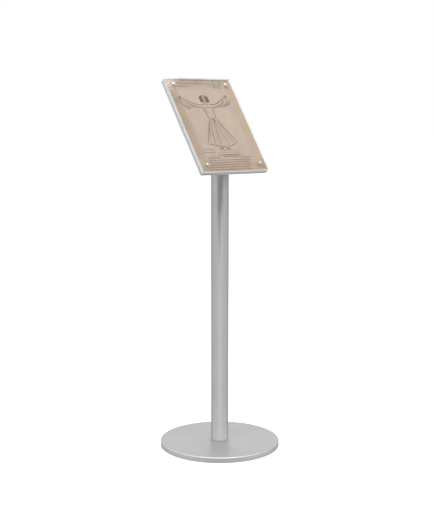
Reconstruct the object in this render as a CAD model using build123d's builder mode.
"""Free-standing sign stand: a round weighted base, a tube post and a sloping sign panel.

Millimetres. +Z is up, the floor is z = 0 and the post's axis is x = y = 0. The panel faces -Y
and up, with its bottom edge along X.
"""

import os
from math import cos, radians, sin, tan

from build123d import *

os.makedirs("parts", exist_ok=True)

# ---- driving dimensions: base ----
base_r = 175.0  # outer radius of the base
rim_h = 15.0  # height of the base's rim
rim_edge_r = 2.5  # rounding of the rim's top edge
skin_t = 1.5  # sheet of the base cover
floor_gap = 1.2  # how far the rubber pads hold the rim off the floor
weight_gap = 0.3  # between the weight and the inside of the rim

foot_count = 6
foot_r = 11.0
foot_pocket_depth = 3.0
foot_inset = 14.0  # from a foot's edge to the edge of the weight
foot_edge_r = 0.6

# ---- driving dimensions: post ----
tube_r = 25.4
tube_wall = 1.5
gasket_t = 0.6
foot_plug_h = 40.0  # length of the foot plug inside the tube
head_plug_grip = 30.0  # straight length of the head plug below the mitre
spigot_wall = 4.0  # how much narrower the spigot's radius is than the plug's
spigot_gap = 0.1  # radial clearance of the base cover and the gasket round the spigot
dowel_r = 2.5
dowel_x = 13.0
dowel_hold = 8.0  # depth of a dowel in the weight, and again in the plug
plug_screw_edge = 12.7  # from the plug's wall to the axes of the screws in its mitred face
plug_screw_drop = 8.0  # from the post's axis down the slope to the upper two of them

# ---- driving dimensions: panel ----
tilt = 53.0  # slope of the panel, from the horizontal
head_h = 891.0  # height where the post's axis meets the panel's back
panel_rise = 52.3  # from there up the slope to the panel's centre
panel_w = 230.0
panel_h = 325.0
pan_depth = 11.1
pan_sheet = 2.0
pan_corner_r = 1.5
pan_edge_r = 0.8
print_t = 0.3
print_margin = 1.0
cover_t = 9.0
cover_corner_r = 1.2
cover_bevel = 0.5
rear_cover_t = 2.0
rear_cover_gap = 0.3

mount_w = 90.0
mount_h = 130.0
mount_t = 4.0
mount_corner_r = 8.0
mount_edge = 15.0  # from the plate's edge to its screws

bar_w = 20.0
bar_end_gap = 30.0  # from the end of a bar to the inside of the pan
bar_corner_r = 1.5
block_w = 18.0
block_corner_r = 2.0
rear_screw_step = 18.0  # from a corner screw to the rear screw beside it
screw_inset = 22.5  # from the panel's edges to the corner screws

# ---- fasteners: shank radius, head radius, head height, length, socket across flats, depth ----
m10_r, m10_head_r, m10_head_h, m10_len, m10_hex, m10_hex_depth = 5.0, 8.0, 6.0, 30.0, 7.0, 3.0
m6_r, m6_head_r, m6_len, m6_hex, m6_hex_depth = 3.0, 6.0, 16.0, 4.0, 2.0
m5_r, m5_head_r, m5_head_h, m5_len, m5_hex, m5_hex_depth = 2.5, 4.75, 2.75, 18.0, 3.0, 1.6
m5_flat_head_r, m5_flat_len = 5.0, 12.0
m4_r, m4_head_r, m4_head_h, m4_len, m4_hex, m4_hex_depth = 2.0, 3.8, 2.2, 8.0, 2.5, 1.2
set_screw_len = 10.0
set_screw_inset = 0.5  # how deep its end sits below the tube's surface
countersink_angle = 90.0
edge_break = 0.5  # small chamfer on turned edges and screw tips
lead_in = 1.0  # larger chamfer on the end of a plug or a big screw
tap_runout = 2.0  # how much deeper a tapped hole is than its screw
hole_gap = 0.3  # radial clearance of a plain hole round a screw
thread_gap = 0.05  # radial clearance of a tapped hole round a screw that comes out
base_washer_t = 2.0
base_washer_r = 10.0
corner_washer_t = 1.0
corner_washer_r = 4.5
pocket_gap = 0.5  # radial clearance of the base washer in its counterbore
head_recess = 0.8  # how deep the base screw's head sits below the weight's underside

# ---- heights and radii that follow ----
rim_bottom_z = floor_gap
base_top_z = floor_gap + rim_h
weight_r = base_r - skin_t - weight_gap
weight_t = rim_h - skin_t
weight_top_z = floor_gap + weight_t
foot_ring_r = weight_r - foot_inset - foot_r
tube_bottom_z = base_top_z + gasket_t
tube_bore_r = tube_r - tube_wall
spigot_r = tube_bore_r - spigot_wall
washer_z = floor_gap + head_recess + m10_head_h
bolt_seat_z = washer_z + base_washer_t

# ---- the panel's plane: origin on the post's axis, x along the panel, y up its slope ----
slope = radians(tilt)
normal = Vector(0, -sin(slope), cos(slope))
panel_back = Plane(origin=(0, 0, head_h), x_dir=(1, 0, 0), z_dir=normal)
mitre = panel_back.offset(-mount_t)
mitre_axis_z = head_h - mount_t / cos(slope)
mitre_low_z = mitre_axis_z - tube_r * tan(slope)
mitre_high_z = mitre_axis_z + tube_r * tan(slope)

pan_front = pan_depth
print_front = pan_depth + print_t
cover_front = print_front + cover_t
block_t = pan_depth - pan_sheet - rear_cover_t
pan_inner_w = panel_w - 2 * pan_sheet
pan_inner_h = panel_h - 2 * pan_sheet
corner_x = panel_w / 2 - screw_inset
corner_y = panel_h / 2 - screw_inset
rear_x = corner_x - rear_screw_step
mount_x = mount_w / 2 - mount_edge
mount_y = mount_h / 2 - mount_edge
bar_h = pan_inner_h - 2 * bar_end_gap

corner_spots = [(-corner_x, -corner_y), (corner_x, -corner_y), (corner_x, corner_y), (-corner_x, corner_y)]
rear_spots = [(-rear_x, -corner_y), (rear_x, -corner_y), (rear_x, corner_y), (-rear_x, corner_y)]
mount_spots = [(-mount_x, -mount_y), (mount_x, -mount_y), (mount_x, mount_y), (-mount_x, mount_y)]


def panel_plane(height):
    """The plane of the panel's centre at a height above the panel's back."""
    return Plane(
        origin=panel_back.origin + panel_back.y_dir * panel_rise + normal * height,
        x_dir=(1, 0, 0),
        z_dir=normal,
    )


def screw_plane(plane, spot):
    """A copy of a plane with its origin moved to a spot on it."""
    return Plane(origin=plane.from_local_coords(spot), x_dir=plane.x_dir, z_dir=plane.z_dir)


def flipped(plane):
    """The same plane seen from its other side, with x kept."""
    return Plane(origin=plane.origin, x_dir=plane.x_dir, z_dir=-plane.z_dir)


def profile_plane(plane):
    """The plane that holds another plane's x axis and its normal."""
    return Plane(origin=plane.origin, x_dir=plane.x_dir, z_dir=-plane.y_dir)


# ---- base weight: a thick disc with pockets for the feet and the base screw's head ----
with BuildPart() as base_weight:
    with BuildSketch(Plane.XY.offset(floor_gap)):
        Circle(weight_r)
    extrude(amount=weight_t)
    chamfer(base_weight.edges().filter_by(GeomType.CIRCLE).sort_by(Axis.Z)[0], length=edge_break)
    with Locations(Plane(origin=(0, 0, floor_gap), z_dir=(0, 0, -1))):
        CounterBoreHole(
            radius=m10_r + hole_gap,
            counter_bore_radius=base_washer_r + pocket_gap,
            counter_bore_depth=bolt_seat_z - floor_gap,
        )
        with PolarLocations(foot_ring_r, foot_count):
            Hole(foot_r, depth=foot_pocket_depth)
    with Locations(Plane.XY.offset(weight_top_z)):
        with Locations((-dowel_x, 0), (dowel_x, 0)):
            Hole(dowel_r, depth=dowel_hold)
base_weight.part.label = "base_weight"
export_step(base_weight.part, "parts/base_weight.step")

# ---- base cover: a sheet skin with a turned-down rim and a hole for the spigot ----
with BuildPart() as base_cover:
    with BuildSketch(Plane.XY.offset(rim_bottom_z)):
        Circle(base_r)
    extrude(amount=rim_h)
    fillet(base_cover.edges().filter_by(GeomType.CIRCLE).sort_by(Axis.Z)[-1], radius=rim_edge_r)
    with BuildSketch(Plane.XY.offset(rim_bottom_z)):
        Circle(base_r - skin_t)
    extrude(amount=rim_h - skin_t, mode=Mode.SUBTRACT)
    with Locations(Plane.XY.offset(base_top_z)):
        Hole(spigot_r + spigot_gap)
base_cover.part.label = "base_cover"
export_step(base_cover.part, "parts/base_cover.step")

# ---- feet: rubber pads pressed into the weight's pockets ----
for number in range(foot_count):
    foot_angle = radians(360 / foot_count * number)
    with BuildPart() as foot:
        with BuildSketch(Plane(origin=(foot_ring_r * cos(foot_angle), foot_ring_r * sin(foot_angle), 0))):
            Circle(foot_r)
        extrude(amount=floor_gap + foot_pocket_depth)
        fillet(foot.edges().filter_by(GeomType.CIRCLE).sort_by(Axis.Z)[0], radius=foot_edge_r)
    foot.part.label = f"foot_{number + 1}"
    export_step(foot.part, f"parts/foot_{number + 1}.step")

# ---- base screw and its washer, from below ----
with BuildPart() as base_screw:
    with BuildSketch(Plane.XY.offset(washer_z - m10_head_h)):
        Circle(m10_head_r)
    extrude(amount=m10_head_h)
    chamfer(base_screw.edges().filter_by(GeomType.CIRCLE).sort_by(Axis.Z)[0], length=edge_break)
    with BuildSketch(Plane.XY.offset(washer_z)):
        Circle(m10_r)
    extrude(amount=m10_len)
    chamfer(base_screw.edges().filter_by(GeomType.CIRCLE).sort_by(Axis.Z)[-1], length=lead_in)
    with BuildSketch(Plane.XY.offset(washer_z - m10_head_h)):
        RegularPolygon(m10_hex / 2, 6, major_radius=False)
    extrude(amount=m10_hex_depth, mode=Mode.SUBTRACT)
base_screw.part.label = "base_screw"
export_step(base_screw.part, "parts/base_screw.step")

with BuildPart() as base_washer:
    with BuildSketch(Plane.XY.offset(washer_z)):
        Circle(base_washer_r)
        Circle(m10_r + hole_gap, mode=Mode.SUBTRACT)
    extrude(amount=base_washer_t)
base_washer.part.label = "base_washer"
export_step(base_washer.part, "parts/base_washer.step")

# ---- dowel pins between the weight and the foot plug ----
with BuildPart() as dowel_pins:
    with BuildSketch(Plane.XY.offset(weight_top_z - dowel_hold)):
        with Locations((-dowel_x, 0), (dowel_x, 0)):
            Circle(dowel_r)
    extrude(amount=2 * dowel_hold)
dowel_pins.part.label = "dowel_pins"
export_step(dowel_pins.part, "parts/dowel_pins.step")

# ---- post gasket: a ring between the tube and the base cover ----
with BuildPart() as post_gasket:
    with BuildSketch(Plane.XY.offset(base_top_z)):
        Circle(tube_r)
        Circle(spigot_r + spigot_gap, mode=Mode.SUBTRACT)
    extrude(amount=gasket_t)
post_gasket.part.label = "post_gasket"
export_step(post_gasket.part, "parts/post_gasket.step")

# ---- foot plug: fills the foot of the tube, its spigot goes through the base cover ----
with BuildPart() as foot_plug:
    with BuildSketch(Plane.XY.offset(tube_bottom_z)):
        Circle(tube_bore_r)
    extrude(amount=foot_plug_h)
    chamfer(foot_plug.edges().filter_by(GeomType.CIRCLE).sort_by(Axis.Z)[-1], length=lead_in)
    with BuildSketch(Plane.XY.offset(weight_top_z)):
        Circle(spigot_r)
    extrude(amount=tube_bottom_z - weight_top_z)
    with Locations(Plane(origin=(0, 0, weight_top_z), z_dir=(0, 0, -1))):
        Hole(m10_r, depth=washer_z + m10_len - weight_top_z + tap_runout)
        with Locations((-dowel_x, 0), (dowel_x, 0)):
            Hole(dowel_r, depth=dowel_hold)
foot_plug.part.label = "foot_plug"
export_step(foot_plug.part, "parts/foot_plug.step")

# ---- head plug: fills the head of the tube, mitred with it, tapped for the plate's screws ----
head_plug_bottom_z = mitre_low_z - head_plug_grip
set_screw_z = head_plug_bottom_z + head_plug_grip / 2
plug_screw_x = tube_bore_r - plug_screw_edge
plug_screw_low = tube_bore_r / cos(slope) - plug_screw_edge
plug_screw_spots = [(-plug_screw_x, -plug_screw_drop), (plug_screw_x, -plug_screw_drop), (0, -plug_screw_low)]
set_screw_plane = Plane(origin=(0, tube_r, set_screw_z), x_dir=(1, 0, 0), z_dir=(0, 1, 0))

with BuildPart() as head_plug:
    with BuildSketch(Plane.XY.offset(head_plug_bottom_z)):
        Circle(tube_bore_r)
    extrude(amount=mitre_high_z - head_plug_bottom_z)
    split(bisect_by=mitre, keep=Keep.BOTTOM)
    with Locations(*[screw_plane(mitre, spot) for spot in plug_screw_spots]):
        Hole(m6_r, depth=m6_len - mount_t + tap_runout)
    with Locations(set_screw_plane):
        Hole(m6_r, depth=tube_wall + set_screw_len)
head_plug.part.label = "head_plug"
export_step(head_plug.part, "parts/head_plug.step")

# ---- post tube: square at the foot, mitred under the mount plate ----
with BuildPart() as post_tube:
    with BuildSketch(Plane.XY.offset(tube_bottom_z)):
        Circle(tube_r)
        Circle(tube_bore_r, mode=Mode.SUBTRACT)
    extrude(amount=mitre_high_z - tube_bottom_z)
    split(bisect_by=mitre, keep=Keep.BOTTOM)
    with Locations(set_screw_plane):
        Hole(m6_r, depth=2 * tube_wall)
post_tube.part.label = "post_tube"
export_step(post_tube.part, "parts/post_tube.step")

# ---- set screw: locks the head plug from behind, flush with the tube ----
with BuildPart() as set_screw:
    with BuildSketch(set_screw_plane.offset(-set_screw_inset)):
        Circle(m6_r)
    extrude(amount=-set_screw_len)
    with BuildSketch(set_screw_plane.offset(-set_screw_inset)):
        RegularPolygon(m5_hex / 2, 6, major_radius=False)
    extrude(amount=-m6_hex_depth, mode=Mode.SUBTRACT)
set_screw.part.label = "set_screw"
export_step(set_screw.part, "parts/set_screw.step")

# ---- mount plate: on the mitred end of the post, behind the panel ----
with BuildPart() as mount_plate:
    with BuildSketch(mitre):
        RectangleRounded(mount_w, mount_h, mount_corner_r)
    extrude(amount=mount_t)
    with Locations(*[screw_plane(panel_back, spot) for spot in plug_screw_spots]):
        CounterSinkHole(m6_r + hole_gap, m6_head_r, counter_sink_angle=countersink_angle)
    with Locations(*[flipped(screw_plane(mitre, spot)) for spot in mount_spots]):
        CounterSinkHole(m5_r + hole_gap, m5_flat_head_r, counter_sink_angle=countersink_angle)
mount_plate.part.label = "mount_plate"
export_step(mount_plate.part, "parts/mount_plate.step")


def flat_head_outline(shank_r, head_r, length):
    """Half outline of a countersunk screw: head face on y = 0, shank down along -y."""
    head_depth = head_r - shank_r
    Polyline(
        (0, 0),
        (head_r, 0),
        (shank_r, -head_depth),
        (shank_r, -length + edge_break),
        (shank_r - edge_break, -length),
        (0, -length),
        close=True,
    )


def button_head_outline(shank_r, head_r, head_h, length):
    """Half outline of a button-head screw: head's seat on y = 0, shank down along -y."""
    edge_h = head_h * 0.15  # straight edge below the dome
    crown_r = head_r * 0.45  # flat round the socket
    dome_middle = (head_r * 0.83, head_h * 0.7)
    Line((0, head_h), (crown_r, head_h))
    ThreePointArc((crown_r, head_h), dome_middle, (head_r, edge_h))
    Polyline(
        (head_r, edge_h),
        (head_r, 0),
        (shank_r, 0),
        (shank_r, -length + edge_break),
        (shank_r - edge_break, -length),
        (0, -length),
        (0, head_h),
    )


# ---- plug screws: mount plate to head plug, under the panel ----
with BuildPart() as plug_screws:
    for spot in plug_screw_spots:
        seat = screw_plane(panel_back, spot)
        with BuildSketch(profile_plane(seat)):
            with BuildLine():
                flat_head_outline(m6_r, m6_head_r, m6_len)
            make_face()
        revolve(axis=Axis(seat.origin, seat.z_dir))
        with BuildSketch(seat):
            RegularPolygon(m6_hex / 2, 6, major_radius=False)
        extrude(amount=-m6_hex_depth, mode=Mode.SUBTRACT)
plug_screws.part.label = "plug_screws"
export_step(plug_screws.part, "parts/plug_screws.step")

# ---- mount screws: through the mount plate and rear cover into the bars ----
with BuildPart() as mount_screws:
    for spot in mount_spots:
        seat = flipped(screw_plane(mitre, spot))
        with BuildSketch(profile_plane(seat)):
            with BuildLine():
                flat_head_outline(m5_r, m5_flat_head_r, m5_flat_len)
            make_face()
        revolve(axis=Axis(seat.origin, seat.z_dir))
        with BuildSketch(seat):
            RegularPolygon(m5_hex / 2, 6, major_radius=False)
        extrude(amount=-m5_hex_depth, mode=Mode.SUBTRACT)
mount_screws.part.label = "mount_screws"
export_step(mount_screws.part, "parts/mount_screws.step")

# ---- back pan: a shallow folded pan, open behind ----
with BuildPart() as back_pan:
    with BuildSketch(panel_plane(0)):
        RectangleRounded(panel_w, panel_h, pan_corner_r)
    extrude(amount=pan_depth)
    front_face = back_pan.faces().sort_by(Axis((0, 0, 0), normal))[-1]
    fillet(front_face.edges(), radius=pan_edge_r)
    with BuildSketch(panel_plane(0)):
        Rectangle(pan_inner_w, pan_inner_h)
    extrude(amount=pan_depth - pan_sheet, mode=Mode.SUBTRACT)
    with Locations(*[screw_plane(panel_plane(pan_front), spot) for spot in corner_spots]):
        Hole(m5_r + hole_gap, depth=2 * pan_sheet)
back_pan.part.label = "back_pan"
export_step(back_pan.part, "parts/back_pan.step")

# ---- rear cover: closes the pan, clamped under the mount plate ----
with BuildPart() as rear_cover:
    with BuildSketch(panel_plane(0)):
        RectangleRounded(
            pan_inner_w - 2 * rear_cover_gap,
            pan_inner_h - 2 * rear_cover_gap,
            pan_corner_r,
        )
    extrude(amount=rear_cover_t)
    with Locations(*[screw_plane(panel_plane(rear_cover_t), spot) for spot in rear_spots]):
        Hole(m4_r + hole_gap, depth=2 * rear_cover_t)
    with Locations(*[screw_plane(panel_back.offset(rear_cover_t), spot) for spot in mount_spots]):
        Hole(m5_r + hole_gap, depth=2 * rear_cover_t)
rear_cover.part.label = "rear_cover"
export_step(rear_cover.part, "parts/rear_cover.step")

# ---- rear screws: hold the rear cover to the corner blocks ----
with BuildPart() as rear_screws:
    for spot in rear_spots:
        seat = flipped(screw_plane(panel_plane(0), spot))
        with BuildSketch(profile_plane(seat)):
            with BuildLine():
                button_head_outline(m4_r, m4_head_r, m4_head_h, m4_len)
            make_face()
        revolve(axis=Axis(seat.origin, seat.z_dir))
        with BuildSketch(seat.offset(m4_head_h)):
            RegularPolygon(m4_hex / 2, 6, major_radius=False)
        extrude(amount=-m4_hex_depth, mode=Mode.SUBTRACT)
rear_screws.part.label = "rear_screws"
export_step(rear_screws.part, "parts/rear_screws.step")

# ---- corner blocks: tapped for a corner screw from the front and a rear screw from behind ----
for number in range(4):
    corner_spot = corner_spots[number]
    rear_spot = rear_spots[number]
    block_spot = ((corner_spot[0] + rear_spot[0]) / 2, corner_spot[1])
    with BuildPart() as corner_block:
        with BuildSketch(screw_plane(panel_plane(rear_cover_t), block_spot)):
            RectangleRounded(rear_screw_step + block_w, block_w, block_corner_r)
        extrude(amount=block_t)
        with Locations(screw_plane(panel_plane(rear_cover_t + block_t), corner_spot)):
            Hole(m5_r + thread_gap, depth=2 * block_t)
        with Locations(screw_plane(panel_plane(rear_cover_t + block_t), rear_spot)):
            Hole(m4_r, depth=2 * block_t)
    corner_block.part.label = f"corner_block_{number + 1}"
    export_step(corner_block.part, f"parts/corner_block_{number + 1}.step")

# ---- bars: two tapped stiffeners that carry the panel on the mount screws ----
for name, bar_x in (("bar_left", -mount_x), ("bar_right", mount_x)):
    with BuildPart() as bar:
        with BuildSketch(screw_plane(panel_plane(rear_cover_t), (bar_x, 0))):
            RectangleRounded(bar_w, bar_h, bar_corner_r)
        extrude(amount=block_t)
        for hole_y in (-mount_y, mount_y):
            with Locations(screw_plane(panel_back.offset(rear_cover_t), (bar_x, hole_y))):
                Hole(m5_r, depth=2 * block_t)
    bar.part.label = name
    export_step(bar.part, f"parts/{name}.step")

# ---- print: the sheet between the pan and the cover ----
with BuildPart() as print_sheet:
    with BuildSketch(panel_plane(pan_front)):
        Rectangle(panel_w - 2 * print_margin, panel_h - 2 * print_margin)
    extrude(amount=print_t)
    with Locations(*[screw_plane(panel_plane(print_front), spot) for spot in corner_spots]):
        Hole(m5_r + 2 * hole_gap, depth=2 * print_t)
print_sheet.part.label = "print_sheet"
export_step(print_sheet.part, "parts/print_sheet.step")

# ---- cover: thick clear plate over the print ----
with BuildPart() as cover:
    with BuildSketch(panel_plane(print_front)):
        RectangleRounded(panel_w, panel_h, cover_corner_r)
    extrude(amount=cover_t)
    cover_faces = cover.faces().sort_by(Axis((0, 0, 0), normal))
    chamfer(cover_faces[0].edges() + cover_faces[-1].edges(), length=cover_bevel)
    with Locations(*[screw_plane(panel_plane(cover_front), spot) for spot in corner_spots]):
        Hole(m5_r + hole_gap, depth=2 * cover_t)
cover.part.label = "cover"
export_step(cover.part, "parts/cover.step")

# ---- corner washers and corner screws, which hold the cover ----
for number in range(4):
    cover_seat = screw_plane(panel_plane(cover_front), corner_spots[number])
    with BuildPart() as corner_washer:
        with BuildSketch(cover_seat):
            Circle(corner_washer_r)
            Circle(m5_r + hole_gap, mode=Mode.SUBTRACT)
        extrude(amount=corner_washer_t)
    corner_washer.part.label = f"corner_washer_{number + 1}"
    export_step(corner_washer.part, f"parts/corner_washer_{number + 1}.step")

    head_seat = cover_seat.offset(corner_washer_t)
    with BuildPart() as corner_screw:
        with BuildSketch(profile_plane(head_seat)):
            with BuildLine():
                button_head_outline(m5_r, m5_head_r, m5_head_h, m5_len)
            make_face()
        revolve(axis=Axis(head_seat.origin, head_seat.z_dir))
        with BuildSketch(head_seat.offset(m5_head_h)):
            RegularPolygon(m5_hex / 2, 6, major_radius=False)
        extrude(amount=-m5_hex_depth, mode=Mode.SUBTRACT)
    corner_screw.part.label = f"corner_screw_{number + 1}"
    export_step(corner_screw.part, f"parts/corner_screw_{number + 1}.step")
